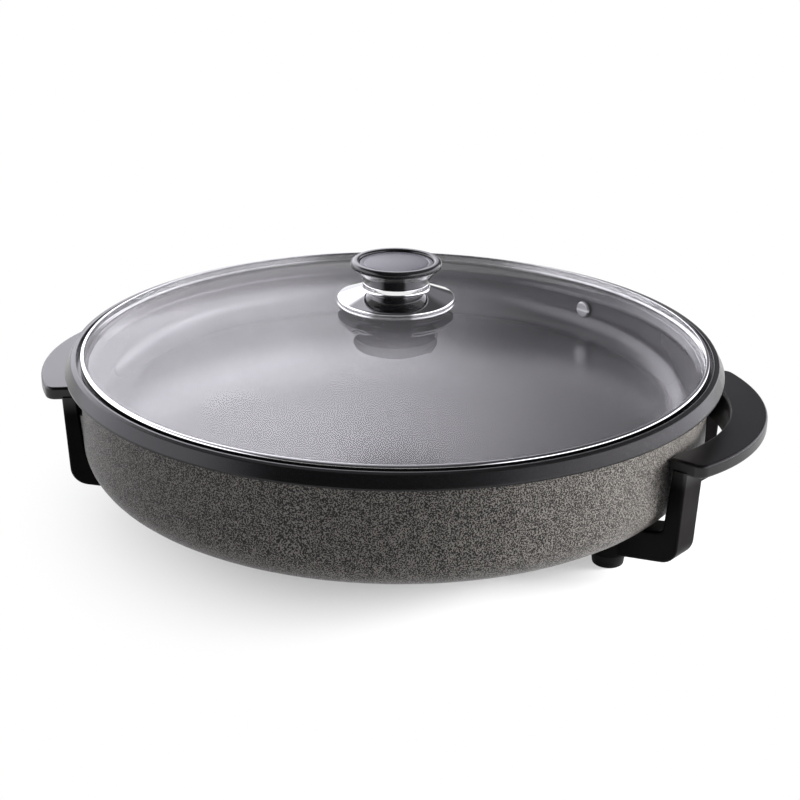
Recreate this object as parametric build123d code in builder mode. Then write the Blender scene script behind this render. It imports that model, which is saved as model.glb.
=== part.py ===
from build123d import *
import math
import os

os.makedirs("parts", exist_ok=True)

# Round electric pan with a domed glass lid. Millimetres, +Z up, origin on the table under the pan's axis,
# handles on +X and -X.

# Lid and the recess it sits in
lid_radius = 201.9  # outside of the steel band
lid_gap = 2.3  # between the band and the rim's lip
lid_lift_clearance = 0.3  # between the band and its seat
glass_thickness = 4.0
dome_radius = 750.0  # outer face of the glass
glass_hole_radius = 5.0
band_sheet = 0.7
band_grip = 1.6  # how far the band's flanges reach over the glass
glass_edge_clearance = 0.3
glass_face_clearance = 0.25

# Outer shell, closed by the cooking pan
base_height = 30.4  # underside of the shell above the table
pan_height = 78.6  # underside of the shell to the top of the lip
wall_inset = 1.4  # shell's outer face inside the recess
bottom_radius = 24.5
shell_sheet = 2.0
shell_gap = 0.4  # round the cooking pan's wall and under its rim

# Cooking pan
pan_depth = 38.5  # top of the lip down to the floor
wall_thickness = 6.4
floor_thickness = 5.0
floor_round = 16.5  # floor up to the wall
seat_depth = 4.9  # top of the lip down to the lid's seat
seat_width = 4.8
seat_round = 2.0
shoulder_drop = 7.1  # seat down to the top of the straight wall
shoulder_round = 5.0
lip_width = 1.6
shelf_width = 2.2  # near-flat top of the rim, outside the lip
shelf_drop = 0.7
rim_reach = 6.0  # outer edge of the rim past the lip
rim_drop = 7.4  # lip down to the outer edge
rim_thickness = 2.6  # lower edge down to the root of the rim's underside
rim_round = 1.1
shelf_round = 1.0
lip_round = 0.6

# Grips and legs
grip_arc_radius = 104.3  # inner edge of the crescent grip
finger_gap = 13.8  # wall to grip at the middle
horn_gap = 1.2  # wall to the grip's ends
grip_width = 23.7
grip_thickness = 8.5
grip_drop = 25.5  # lip down to the top of the grip
grip_half_angle = 21.9  # ends of the grip, seen from the pan's axis
grip_corner = 7.0
grip_edge_round = 1.8
skirt_thickness = 3.0  # lip that hangs from the grip's inner edge
skirt_depth = 15.0
leg_angle = 19.9  # feet, seen from the pan's axis, from the handle's middle
leg_slant = 25.0  # way the leg faces, from the handle's middle
leg_shift = 6.0  # middle of the leg from its foot's axis, towards the handle's middle
leg_breadth = 21.0
leg_edge_round = 1.8
leg_gap = 3.8  # wall to leg at the grip
leg_thickness = 9.6  # at the grip
leg_lean = 2.8  # how far the outer face leans in towards the table
leg_draft = 3.7  # how far the inner face leans in down to the arm
leg_corner = 13.0
leg_height = 16.5  # lower outer corner of the leg above the table
arm_gap = 1.5  # shell to arm
arm_rise = 5.8  # arm's top from under the flat of the shell up to the leg
arm_corner = 5.0
arm_taper = 13.0  # arm's inner corner cut back at the foot
arm_slope = 11.3  # degrees the arm's lower edge falls towards the foot

# Feet, their screws and the posts that take them
foot_inset = 14.3  # foot axis inside the flat of the shell
foot_height = 8.0
foot_top_radius = 10.8
foot_bottom_radius = 9.6
foot_edge_round = 1.2
foot_clearance = 0.8  # leg round the foot
post_radius = 8.0
screw_radius = 2.4
screw_clearance = 0.25
screw_head_radius = 4.6
screw_head_height = 3.2
screw_head_round = 1.0
screw_recess = 4.2  # head's seat above the table
screw_head_clearance = 0.5
screw_hold = 8.0  # screw length inside the post
screw_end_room = 1.0
drive_radius = 1.9
drive_depth = 1.6

# Heater under the cooking pan's floor
element_ring_radius = 120.0
element_radius = 4.0
element_drop = 6.0  # floor's underside to heater axis
element_bend = 14.0
channel_clearance = 0.15
channel_wall = 4.0

# Plug-in control inlet
inlet_angle = 60.0
pin_spacing = 25.0
pin_radius = 2.5
pin_chamfer = 0.8
pin_reach = 16.0  # pin past the guard's back plate
insulator_radius = 4.4
insulator_length = 14.0
insulator_nose = 4.0  # insulator past the guard's back plate
sleeve_radius = 4.8
sleeve_bore_radius = 3.4
sleeve_length = 62.0
sleeve_nose = 5.0  # sleeve past the guard's back plate
sleeve_end = 2.0
lug_length = 14.0
lug_wall = 3.0
guard_width = 60.0
guard_height = 40.0
guard_depth = 22.0
guard_sheet = 1.5
guard_corner = 6.0
guard_gap = 0.3  # wall to guard
guard_hole_clearance = 0.3
tab_width = 20.0
tab_margin = 9.0  # screw axis to the tab's top
tab_corner = 6.5

# Screw through the wall
wall_screw_drop = 20.8  # lip to screw axis
wall_screw_radius = 2.5
wall_screw_clearance = 0.2
wall_head_radius = 6.0
wall_head_height = 2.4
wall_head_round = 1.4
wall_head_gap = 0.8  # flat head off the curved wall
wall_slot_width = 1.6
wall_slot_depth = 1.2
washer_radius = 5.5
washer_thickness = 1.0
nut_radius = 4.6
nut_height = 4.0
nut_clearance = 0.1
thread_end = 2.0  # screw past the nut

# Knob
knob_radius = 29.2
knob_rim_height = 4.8
knob_rim_round = 2.3
knob_height = 17.9  # bottom of the neck to the top of the rim
knob_under_drop = 3.8  # rim's underside down to the neck
neck_radius = 20.1
neck_flare = 1.5  # neck is this much wider at its top than the collar
cap_radius = 23.6
cap_thickness = 1.2
cap_recess = 1.5  # cap's face below the rim's top
cap_clearance = 0.2
stem_radius = 7.5
insert_radius = 4.0
insert_length = 14.0
insert_clearance = 0.05
knob_screw_reach = 10.0  # screw length inside the insert
base_radius = 37.8
base_sheet = 1.2
base_bead = 4.6  # height of the beaded edge
base_bead_round = 1.0
base_lip = 1.0  # lower lip of the bead stands out this far
base_rise = 6.0  # bead's top up to the collar's foot
collar_height = 4.0
collar_clearance = 0.15
gasket_radius = 12.0
gasket_thickness = 1.0
gasket_clearance = 0.1
knob_washer_radius = 11.0
knob_washer_thickness = 1.4

# Worked-out sizes
lip_height = base_height + pan_height
recess_radius = lid_radius + lid_gap
wall_radius = recess_radius - wall_inset
shell_bore = wall_radius - shell_sheet
shell_floor = base_height + shell_sheet
pan_radius = shell_bore - shell_gap
inner_radius = pan_radius - wall_thickness
floor_height = lip_height - pan_depth
floor_bottom = floor_height - floor_thickness
seat_height = lip_height - seat_depth
seat_edge = recess_radius - seat_width
shoulder_height = seat_height - shoulder_drop
lip_radius = recess_radius + lip_width
shelf_radius = lip_radius + shelf_width
rim_radius = lip_radius + rim_reach
rim_edge_height = lip_height - rim_drop
rim_root_height = rim_edge_height - rim_thickness
shell_top = rim_root_height - shell_gap

grip_inner = wall_radius + finger_gap
grip_centre = grip_inner - grip_arc_radius
grip_top = lip_height - grip_drop
grip_bottom = grip_top - grip_thickness

foot_circle = wall_radius - bottom_radius - foot_inset
foot_angles = [leg_angle, 180 - leg_angle, 180 + leg_angle, -leg_angle]

element_height = floor_bottom - element_drop
pin_offset = pin_spacing / 2
guard_back = wall_radius + guard_gap
guard_face = guard_back + guard_sheet
guard_inner_width = guard_width - 2 * guard_sheet
guard_inner_height = guard_height - 2 * guard_sheet
insulator_start = guard_face + insulator_nose - insulator_length
wall_screw_height = lip_height - wall_screw_drop

band_bottom = seat_height + lid_lift_clearance
glass_radius = lid_radius - band_sheet - glass_edge_clearance
dome_inner_radius = dome_radius - glass_thickness
glass_foot = band_bottom + band_sheet + glass_face_clearance
dome_centre = glass_foot - math.sqrt(dome_inner_radius**2 - glass_radius**2)
dome_top = dome_centre + dome_radius


def facing_plane(angle, radius, height):
    """Plane square to a radius: its normal runs outward, local X sideways and local Y up."""
    turn = math.radians(angle)
    outward = (math.cos(turn), math.sin(turn), 0)
    sideways = (-math.sin(turn), math.cos(turn), 0)
    place = (radius * outward[0], radius * outward[1], height)
    return Plane(origin=place, x_dir=sideways, z_dir=outward)


def leg_plane(turn, hand):
    """Upright plane through a leg's middle: local X runs outward from the foot and local Y runs up."""
    slant = math.radians(turn + hand * leg_slant)
    outward = (math.cos(slant), math.sin(slant), 0)
    sideways = (math.sin(slant), -math.cos(slant), 0)
    foot_plane = Plane(origin=around(turn + hand * leg_angle, foot_circle), x_dir=outward, z_dir=sideways)
    return foot_plane.offset(hand * leg_shift)


def along_leg(radius):
    """Distance along a leg from its foot's axis to a radius about the pan's axis."""
    twist = math.radians(leg_angle - leg_slant)
    return math.sqrt(radius**2 - (foot_circle * math.sin(twist)) ** 2) - foot_circle * math.cos(twist)


def around(angle, radius, height=0):
    """Point at an angle and a radius about the pan's axis."""
    turn = math.radians(angle)
    return (radius * math.cos(turn), radius * math.sin(turn), height)


def dome_height(radius, sphere_radius):
    """Height of a dome face at a radius from the axis."""
    return dome_centre + math.sqrt(sphere_radius**2 - radius**2)


def corner(sketch, x, y):
    """The sketch's corner nearest to a point."""
    return sketch.vertices().sort_by_distance((x, y, 0))[0]


def finish(builder, name):
    """Label a finished piece and write it."""
    builder.part.label = name
    export_step(builder.part, f"parts/{name}.step")


# The heater's path: in along one pin, round the ring and out along the other
element_plane = Plane.XY.offset(element_height).rotated((0, 0, inlet_angle))
bend_centre_y = pin_offset + element_bend
bend_centre_x = math.sqrt((element_ring_radius + element_bend) ** 2 - bend_centre_y**2)
bend_turn = math.degrees(math.atan2(bend_centre_x, bend_centre_y))
ring_turn = 180 + 2 * bend_turn
with BuildLine(element_plane) as element_path:
    lead_in = Line((insulator_start, pin_offset), (bend_centre_x, pin_offset))
    bend_in = JernArc(lead_in @ 1, lead_in % 1, element_bend, -bend_turn)
    ring = JernArc(bend_in @ 1, bend_in % 1, element_ring_radius, ring_turn)
    bend_out = JernArc(ring @ 1, ring % 1, element_bend, -bend_turn)
    Line(bend_out @ 1, (insulator_start, -pin_offset))
heater_wire = element_path.wire()
heater_start = Plane(origin=heater_wire @ 0, z_dir=heater_wire % 0)

foot_points = [around(angle, foot_circle) for angle in foot_angles]

# Cooking pan: floor, wall, lid seat, sloping rim, heater channel, probe lug and the posts for the screws
with BuildPart() as pan_body:
    with BuildSketch(Plane.XZ) as pan_section:
        with BuildLine():
            Polyline(
                (0, floor_bottom),
                (pan_radius, floor_bottom),
                (pan_radius, rim_root_height),
                (wall_radius, rim_root_height),
                (rim_radius, rim_edge_height - rim_round),
                (rim_radius, rim_edge_height),
                (shelf_radius, lip_height - shelf_drop),
                (lip_radius, lip_height),
                (recess_radius, lip_height),
                (recess_radius, seat_height),
                (seat_edge, seat_height),
                (inner_radius, shoulder_height),
                (inner_radius, floor_height),
                (0, floor_height),
                close=True,
            )
        make_face()
        fillet(corner(pan_section, pan_radius, floor_bottom), floor_round + floor_thickness)
        fillet(corner(pan_section, inner_radius, floor_height), floor_round)
        fillet(corner(pan_section, inner_radius, shoulder_height), shoulder_round)
        fillet(corner(pan_section, seat_edge, seat_height), seat_round)
        fillet(corner(pan_section, lip_radius, lip_height), lip_round)
        fillet(corner(pan_section, recess_radius, lip_height), lip_round)
        fillet(corner(pan_section, shelf_radius, lip_height - shelf_drop), shelf_round)
        fillet(corner(pan_section, rim_radius, rim_edge_height), rim_round)
    revolve(axis=Axis.Z)
    channel_half_width = element_radius + channel_wall
    with BuildSketch(Plane.XY.offset(element_height)):
        Circle(element_ring_radius + channel_half_width)
        Circle(element_ring_radius - channel_half_width, mode=Mode.SUBTRACT)
    extrude(amount=element_drop)
    with BuildSketch(Plane.XY.offset(shell_floor)):
        with Locations(*foot_points):
            Circle(post_radius)
    extrude(amount=floor_bottom - shell_floor)
    lug_start = guard_face + sleeve_nose - sleeve_length - lug_wall
    with BuildSketch(facing_plane(inlet_angle, lug_start, element_height)):
        Circle(sleeve_radius + lug_wall)
        with Locations((0, element_drop / 2)):
            Rectangle(2 * (sleeve_radius + lug_wall), element_drop)
    extrude(amount=lug_length)
    with BuildSketch(facing_plane(inlet_angle, lug_start + lug_wall, element_height)):
        Circle(sleeve_radius + channel_clearance)
    extrude(amount=sleeve_length, mode=Mode.SUBTRACT)
    with BuildSketch(heater_start):
        Circle(element_radius + channel_clearance)
    sweep(path=heater_wire, mode=Mode.SUBTRACT)
    for angle in foot_angles:
        with Locations(Plane(origin=around(angle, foot_circle, shell_floor), z_dir=(0, 0, -1))):
            Hole(screw_radius + channel_clearance, screw_hold + screw_end_room)
    with Locations(facing_plane(inlet_angle, pan_radius, wall_screw_height)):
        Hole(wall_screw_radius + wall_screw_clearance, wall_thickness + wall_head_height)
finish(pan_body, "pan_body")

# Pressed shell round the cooking pan, with holes for the screws, the heater's ends and the probe
with BuildPart() as base_shell:
    with BuildSketch(Plane.XZ) as shell_section:
        with BuildLine():
            Polyline(
                (0, base_height),
                (wall_radius, base_height),
                (wall_radius, shell_top),
                (shell_bore, shell_top),
                (shell_bore, shell_floor),
                (0, shell_floor),
                close=True,
            )
        make_face()
        fillet(corner(shell_section, wall_radius, base_height), bottom_radius)
        fillet(corner(shell_section, shell_bore, shell_floor), bottom_radius - shell_sheet)
    revolve(axis=Axis.Z)
    with BuildSketch(Plane.XY.offset(base_height)):
        with Locations(*foot_points):
            Circle(screw_radius + screw_clearance)
    extrude(amount=shell_sheet, mode=Mode.SUBTRACT)
    with BuildSketch(facing_plane(inlet_angle, wall_radius, element_height)):
        with Locations((-pin_offset, 0), (pin_offset, 0)):
            Circle(insulator_radius + guard_hole_clearance)
        Circle(sleeve_radius + guard_hole_clearance)
        with Locations((0, wall_screw_height - element_height)):
            Circle(wall_screw_radius + wall_screw_clearance)
    extrude(amount=-insulator_length, mode=Mode.SUBTRACT)
finish(base_shell, "base_shell")

# Tubular heater
with BuildPart() as heating_element:
    with BuildSketch(heater_start):
        Circle(element_radius)
    sweep(path=heater_wire)
finish(heating_element, "heating_element")

# Bushes round the heater's ends
inlet_axis = Axis(origin=(0, 0, 0), direction=around(inlet_angle, 1))
with BuildPart() as terminal_insulators:
    with BuildSketch(facing_plane(inlet_angle, insulator_start, element_height)):
        with Locations((-pin_offset, 0), (pin_offset, 0)):
            Circle(insulator_radius)
            Circle(pin_radius, mode=Mode.SUBTRACT)
    extrude(amount=insulator_length)
finish(terminal_insulators, "terminal_insulators")

# Pins that take the plug-in control
with BuildPart() as terminal_pins:
    with BuildSketch(facing_plane(inlet_angle, insulator_start, element_height)):
        with Locations((-pin_offset, 0), (pin_offset, 0)):
            Circle(pin_radius)
    extrude(amount=insulator_length + pin_reach - insulator_nose)
    chamfer(terminal_pins.faces().sort_by(inlet_axis)[-2:].edges(), pin_chamfer)
finish(terminal_pins, "terminal_pins")

# Closed tube for the control's probe
with BuildPart() as probe_sleeve:
    sleeve_start = guard_face + sleeve_nose - sleeve_length
    with BuildSketch(facing_plane(inlet_angle, sleeve_start, element_height)):
        Circle(sleeve_radius)
    extrude(amount=sleeve_length)
    with BuildSketch(facing_plane(inlet_angle, sleeve_start + sleeve_end, element_height)):
        Circle(sleeve_bore_radius)
    extrude(amount=sleeve_length - sleeve_end, mode=Mode.SUBTRACT)
finish(probe_sleeve, "probe_sleeve")

# Pressed guard round the pins, with a tab up to the wall screw
with BuildPart() as inlet_guard:
    with BuildSketch(facing_plane(inlet_angle, guard_back, element_height)):
        RectangleRounded(guard_width, guard_height, guard_corner)
    extrude(amount=guard_depth)
    with BuildSketch(facing_plane(inlet_angle, guard_face, element_height)):
        RectangleRounded(guard_inner_width, guard_inner_height, guard_corner - guard_sheet)
    extrude(amount=guard_depth, mode=Mode.SUBTRACT)
    tab_top = wall_screw_height + tab_margin - element_height
    with BuildSketch(facing_plane(inlet_angle, guard_back, element_height)) as tab:
        with Locations((0, tab_top / 2)):
            Rectangle(tab_width, tab_top)
        fillet(tab.vertices().group_by(Axis.Y)[-1], tab_corner)
    extrude(amount=guard_sheet)
    with BuildSketch(facing_plane(inlet_angle, guard_back, element_height)):
        with Locations((-pin_offset, 0), (pin_offset, 0)):
            Circle(insulator_radius + guard_hole_clearance)
        Circle(sleeve_radius + guard_hole_clearance)
        with Locations((0, wall_screw_height - element_height)):
            Circle(wall_screw_radius + wall_screw_clearance)
    extrude(amount=guard_sheet, mode=Mode.SUBTRACT)
finish(inlet_guard, "inlet_guard")

# Screw through the wall, its washer and nut
head_seat = inner_radius - wall_head_gap
nut_seat = guard_face + washer_thickness
with BuildPart() as wall_screw:
    with BuildSketch(facing_plane(inlet_angle, head_seat - wall_head_height, wall_screw_height)):
        Circle(wall_head_radius)
    extrude(amount=wall_head_height)
    fillet(wall_screw.faces().sort_by(inlet_axis)[0].edges(), wall_head_round)
    with BuildSketch(facing_plane(inlet_angle, head_seat, wall_screw_height)):
        Circle(wall_screw_radius)
    extrude(amount=nut_seat + nut_height + thread_end - head_seat)
    with BuildSketch(facing_plane(inlet_angle, head_seat - wall_head_height, wall_screw_height)):
        Rectangle(2 * wall_head_radius, wall_slot_width)
    extrude(amount=wall_slot_depth, mode=Mode.SUBTRACT)
finish(wall_screw, "wall_screw")

with BuildPart() as wall_washer:
    with BuildSketch(facing_plane(inlet_angle, guard_face, wall_screw_height)):
        Circle(washer_radius)
        Circle(wall_screw_radius + wall_screw_clearance, mode=Mode.SUBTRACT)
    extrude(amount=washer_thickness)
finish(wall_washer, "wall_washer")

with BuildPart() as wall_nut:
    with BuildSketch(facing_plane(inlet_angle, nut_seat, wall_screw_height)):
        RegularPolygon(nut_radius, 6)
        Circle(wall_screw_radius + nut_clearance, mode=Mode.SUBTRACT)
    extrude(amount=nut_height)
finish(wall_nut, "wall_nut")

# Handles: a crescent grip on two broad legs, whose arms run in under the pan to the screws
grip_outer_radius = grip_arc_radius + grip_width
grip_reach = grip_centre + grip_outer_radius
grip_slope = math.tan(math.radians(grip_half_angle))
skirt_radius = grip_arc_radius + skirt_thickness
leg_inner = along_leg(wall_radius + leg_gap)
leg_outer = leg_inner + leg_thickness
leg_top = grip_bottom + grip_edge_round
arm_top = base_height - arm_gap
arm_end_height = leg_height - (leg_outer - leg_lean) * math.tan(math.radians(arm_slope))
skirt_end = leg_plane(0, 1).from_local_coords((leg_inner, 0, 0))
skirt_slope = skirt_end.Y / skirt_end.X


def leg_strap(turn, hand):
    """One leg with its arm, as a bent strap with rounded edges."""
    with BuildPart() as strap:
        with BuildSketch(leg_plane(turn, hand)) as outline:
            with BuildLine():
                Polyline(
                    (0, arm_top),
                    (foot_inset, arm_top),
                    (leg_inner - leg_draft, arm_top + arm_rise),
                    (leg_inner, leg_top),
                    (leg_outer, leg_top),
                    (leg_outer - leg_lean, leg_height),
                    (0, arm_end_height),
                    close=True,
                )
            make_face()
            fillet(corner(outline, leg_inner - leg_draft, arm_top + arm_rise), arm_corner)
            fillet(corner(outline, leg_outer - leg_lean, leg_height), leg_corner)
        extrude(amount=leg_breadth / 2, both=True)
        foot_edges = strap.edges().filter_by(Axis.Z)
        chamfer(foot_edges.sort_by_distance(leg_plane(turn, -hand).origin)[0], arm_taper)
        sides = strap.faces().filter_by(leg_plane(turn, hand))
        fillet(sides.edges().sort_by(Axis.Z)[:-2], leg_edge_round)
    return strap.part


for side, turn in (("right", 0), ("left", 180)):
    straps = [leg_strap(turn, hand) for hand in (-1, 1)]
    handle_feet = [around(turn + hand * leg_angle, foot_circle) for hand in (-1, 1)]
    with BuildPart() as handle:
        with BuildSketch(Plane.XY.offset(grip_bottom).rotated((0, 0, turn))) as grip:
            with Locations((grip_centre, 0)):
                Circle(grip_outer_radius)
                Circle(grip_arc_radius, mode=Mode.SUBTRACT)
            with BuildLine():
                Polyline(
                    (grip_centre, -grip_centre * grip_slope),
                    (grip_reach, -grip_reach * grip_slope),
                    (grip_reach, grip_reach * grip_slope),
                    (grip_centre, grip_centre * grip_slope),
                    close=True,
                )
            make_face(mode=Mode.INTERSECT)
            fillet(grip.vertices().sort_by(SortBy.DISTANCE)[-2:], grip_corner)
            Circle(wall_radius + horn_gap, mode=Mode.SUBTRACT)
        extrude(amount=grip_thickness)
        fillet(handle.faces().filter_by(Axis.Z).edges(), grip_edge_round)
        with BuildSketch(Plane.XY.offset(grip_bottom - skirt_depth).rotated((0, 0, turn))):
            with Locations((grip_centre, 0)):
                Circle(skirt_radius)
                Circle(grip_arc_radius, mode=Mode.SUBTRACT)
            with BuildLine():
                Polyline(
                    (grip_centre, -grip_centre * skirt_slope),
                    (grip_reach, -grip_reach * skirt_slope),
                    (grip_reach, grip_reach * skirt_slope),
                    (grip_centre, grip_centre * skirt_slope),
                    close=True,
                )
            make_face(mode=Mode.INTERSECT)
        extrude(amount=skirt_depth + grip_thickness / 2)
        add(straps)
        with BuildSketch(Plane.XY.offset(foot_height)):
            with Locations(*handle_feet):
                Circle(foot_top_radius)
        extrude(amount=base_height - foot_height)
        with BuildSketch(Plane.XY.offset(foot_height)):
            with Locations(*handle_feet):
                Circle(foot_top_radius + foot_clearance)
        extrude(amount=-foot_height, mode=Mode.SUBTRACT)
        with Locations(*[(x, y, base_height) for x, y, _ in handle_feet]):
            Hole(screw_radius + screw_clearance, base_height)
    finish(handle, f"handle_{side}")

# Feet: tapered stubs, each with a recess for its screw
foot_names = ["foot_right_rear", "foot_left_rear", "foot_left_front", "foot_right_front"]
for name, angle in zip(foot_names, foot_angles):
    with BuildPart() as foot:
        with BuildSketch(Plane(origin=around(angle, foot_circle))):
            Circle(foot_bottom_radius)
        with BuildSketch(Plane(origin=around(angle, foot_circle, foot_height))):
            Circle(foot_top_radius)
        loft()
        fillet(foot.faces().sort_by(Axis.Z)[0].edges(), foot_edge_round)
        with Locations(Plane(origin=around(angle, foot_circle), z_dir=(0, 0, -1))):
            CounterBoreHole(
                screw_radius + screw_clearance,
                screw_head_radius + screw_head_clearance,
                screw_recess,
                foot_height,
            )
    finish(foot, name)

# Screws from below, one through each foot
with BuildPart() as foot_screws:
    head_bottom = screw_recess - screw_head_height
    with BuildSketch(Plane.XY.offset(head_bottom)):
        with Locations(*foot_points):
            Circle(screw_head_radius)
    extrude(amount=screw_head_height)
    with BuildSketch(Plane.XY.offset(screw_recess)):
        with Locations(*foot_points):
            Circle(screw_radius)
    extrude(amount=shell_floor + screw_hold - screw_recess)
    with BuildSketch(Plane.XY.offset(head_bottom)):
        with Locations(*foot_points):
            RegularPolygon(drive_radius, 4)
    extrude(amount=drive_depth, mode=Mode.SUBTRACT)
finish(foot_screws, "foot_screws")

# Glass dome with its edge ground square
with BuildPart() as lid_glass:
    with BuildSketch(Plane.XZ):
        with BuildLine():
            outer_start = (glass_hole_radius, dome_height(glass_hole_radius, dome_radius))
            outer_end = (glass_radius, dome_height(glass_radius, dome_radius))
            inner_start = (glass_radius, dome_height(glass_radius, dome_inner_radius))
            inner_end = (glass_hole_radius, dome_height(glass_hole_radius, dome_inner_radius))
            half_way = (glass_radius + glass_hole_radius) / 2
            ThreePointArc(outer_start, (half_way, dome_height(half_way, dome_radius)), outer_end)
            Line(outer_end, inner_start)
            ThreePointArc(inner_start, (half_way, dome_height(half_way, dome_inner_radius)), inner_end)
            Line(inner_end, outer_start)
        make_face()
    revolve(axis=Axis.Z)
finish(lid_glass, "lid_glass")

# Steel band rolled round the edge of the glass
with BuildPart() as lid_band:
    pocket_radius = lid_radius - band_sheet
    flange_radius = pocket_radius - band_grip
    pocket_top = dome_height(flange_radius, dome_radius) + glass_face_clearance
    pocket_edge = dome_height(glass_radius, dome_radius) + glass_face_clearance
    with BuildSketch(Plane.XZ) as band_section:
        with BuildLine():
            Polyline(
                (flange_radius, band_bottom),
                (lid_radius, band_bottom),
                (lid_radius, pocket_edge + band_sheet),
                (flange_radius, pocket_top + band_sheet),
                (flange_radius, pocket_top),
                (pocket_radius, pocket_edge),
                (pocket_radius, band_bottom + band_sheet),
                (flange_radius, band_bottom + band_sheet),
                close=True,
            )
        make_face()
        fillet(corner(band_section, lid_radius, pocket_edge + band_sheet), band_sheet)
        fillet(corner(band_section, lid_radius, band_bottom), band_sheet)
    revolve(axis=Axis.Z)
finish(lid_band, "lid_band")

# Seals above and below the glass, and the washer and screw that hold the knob
gasket_top = dome_top + gasket_clearance + gasket_thickness
seal_top = dome_height(gasket_radius, dome_inner_radius) - gasket_clearance
washer_top = seal_top - gasket_thickness
washer_bottom = washer_top - knob_washer_thickness
with BuildPart() as knob_gasket:
    with BuildSketch(Plane.XY.offset(gasket_top)):
        Circle(gasket_radius)
        Circle(screw_radius + screw_clearance, mode=Mode.SUBTRACT)
    extrude(amount=-gasket_thickness)
finish(knob_gasket, "knob_gasket")

with BuildPart() as washer_gasket:
    with BuildSketch(Plane.XY.offset(washer_top)):
        Circle(gasket_radius)
        Circle(screw_radius + screw_clearance, mode=Mode.SUBTRACT)
    extrude(amount=gasket_thickness)
finish(washer_gasket, "washer_gasket")

with BuildPart() as knob_washer:
    with BuildSketch(Plane.XY.offset(washer_bottom)):
        Circle(knob_washer_radius)
        Circle(screw_radius + screw_clearance, mode=Mode.SUBTRACT)
    extrude(amount=knob_washer_thickness)
finish(knob_washer, "knob_washer")

stem_bottom = gasket_top
insert_bottom = stem_bottom
with BuildPart() as knob_screw:
    with BuildSketch(Plane.XY.offset(washer_bottom - screw_head_height)):
        Circle(screw_head_radius)
    extrude(amount=screw_head_height)
    fillet(knob_screw.faces().sort_by(Axis.Z)[0].edges(), screw_head_round)
    with BuildSketch(Plane.XY.offset(washer_bottom)):
        Circle(screw_radius)
    extrude(amount=insert_bottom + knob_screw_reach - washer_bottom)
    with BuildSketch(Plane.XY.offset(washer_bottom - screw_head_height)):
        RegularPolygon(drive_radius, 4)
    extrude(amount=drive_depth, mode=Mode.SUBTRACT)
finish(knob_screw, "knob_screw")

with BuildPart() as knob_insert:
    with BuildSketch(Plane.XY.offset(insert_bottom)):
        Circle(insert_radius)
        Circle(screw_radius + insert_clearance, mode=Mode.SUBTRACT)
    extrude(amount=insert_length)
finish(knob_insert, "knob_insert")

# Bright dish under the knob: beaded edge, sloping skirt and a collar round the neck
bead_bottom = dome_height(base_radius - base_sheet, dome_radius) + gasket_clearance
bead_top = bead_bottom + base_bead
collar_foot = bead_top + base_rise
collar_top = collar_foot + collar_height
collar_bore = neck_radius + collar_clearance
collar_outer = collar_bore + base_sheet
with BuildPart() as knob_base:
    with BuildSketch(Plane.XZ) as dish:
        with BuildLine():
            Polyline(
                (base_radius - base_sheet, bead_bottom),
                (base_radius, bead_bottom),
                (base_radius, bead_bottom + base_lip),
                (base_radius - base_lip / 2, bead_bottom + base_lip),
                (base_radius - base_lip / 2, bead_bottom + 2 * base_lip),
                (base_radius, bead_bottom + 2 * base_lip),
                (base_radius, bead_top),
                (collar_outer, collar_foot),
                (collar_outer, collar_top),
                (collar_bore, collar_top),
                (collar_bore, collar_foot),
                (stem_radius + collar_clearance, collar_foot),
                (stem_radius + collar_clearance, collar_foot - base_sheet),
                (collar_bore, collar_foot - base_sheet),
                (base_radius - base_lip - base_sheet, bead_top - base_sheet),
                (base_radius - base_lip - base_sheet, bead_bottom + base_sheet),
                (base_radius - base_sheet, bead_bottom + base_sheet),
                close=True,
            )
        make_face()
        fillet(corner(dish, base_radius, bead_top), base_bead_round)
        fillet(corner(dish, collar_outer, collar_foot), base_bead_round)
    revolve(axis=Axis.Z)
finish(knob_base, "knob_base")

# Turned knob: neck in the collar, rounded rim, and a stem down to the seal
neck_bottom = collar_foot + collar_clearance
knob_top = neck_bottom + knob_height
rim_bottom = knob_top - knob_rim_height
cap_bottom = knob_top - cap_recess - cap_thickness
with BuildPart() as lid_knob:
    with BuildSketch(Plane.XZ) as turned:
        with BuildLine():
            Polyline(
                (insert_radius + insert_clearance, stem_bottom),
                (stem_radius, stem_bottom),
                (stem_radius, neck_bottom),
                (neck_radius, neck_bottom),
                (neck_radius, collar_top + collar_clearance),
                (collar_outer, collar_top + collar_clearance),
                (collar_outer + neck_flare, rim_bottom - knob_under_drop),
                (knob_radius - knob_rim_height / 2, rim_bottom),
                (knob_radius, rim_bottom),
                (knob_radius, knob_top),
                (cap_radius + cap_clearance, knob_top),
                (cap_radius + cap_clearance, cap_bottom),
                (0, cap_bottom),
                (0, insert_bottom + insert_length + insert_clearance),
                (insert_radius + insert_clearance, insert_bottom + insert_length + insert_clearance),
                close=True,
            )
        make_face()
        fillet(corner(turned, knob_radius, knob_top), knob_rim_round)
        fillet(corner(turned, knob_radius, rim_bottom), knob_rim_round)
        fillet(corner(turned, cap_radius + cap_clearance, knob_top), cap_recess)
    revolve(axis=Axis.Z)
finish(lid_knob, "lid_knob")

# Flat disc set into the knob's top
with BuildPart() as knob_cap:
    with BuildSketch(Plane.XY.offset(cap_bottom)):
        Circle(cap_radius)
    extrude(amount=cap_thickness)
    chamfer(knob_cap.faces().sort_by(Axis.Z)[-1].edges(), cap_clearance)
finish(knob_cap, "knob_cap")
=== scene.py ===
"""Dressed model of a round electric pan with a domed glass lid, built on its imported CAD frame."""

import logging
import math
from dataclasses import dataclass
from enum import Enum

import bpy
from mathutils import Matrix, Vector


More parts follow.
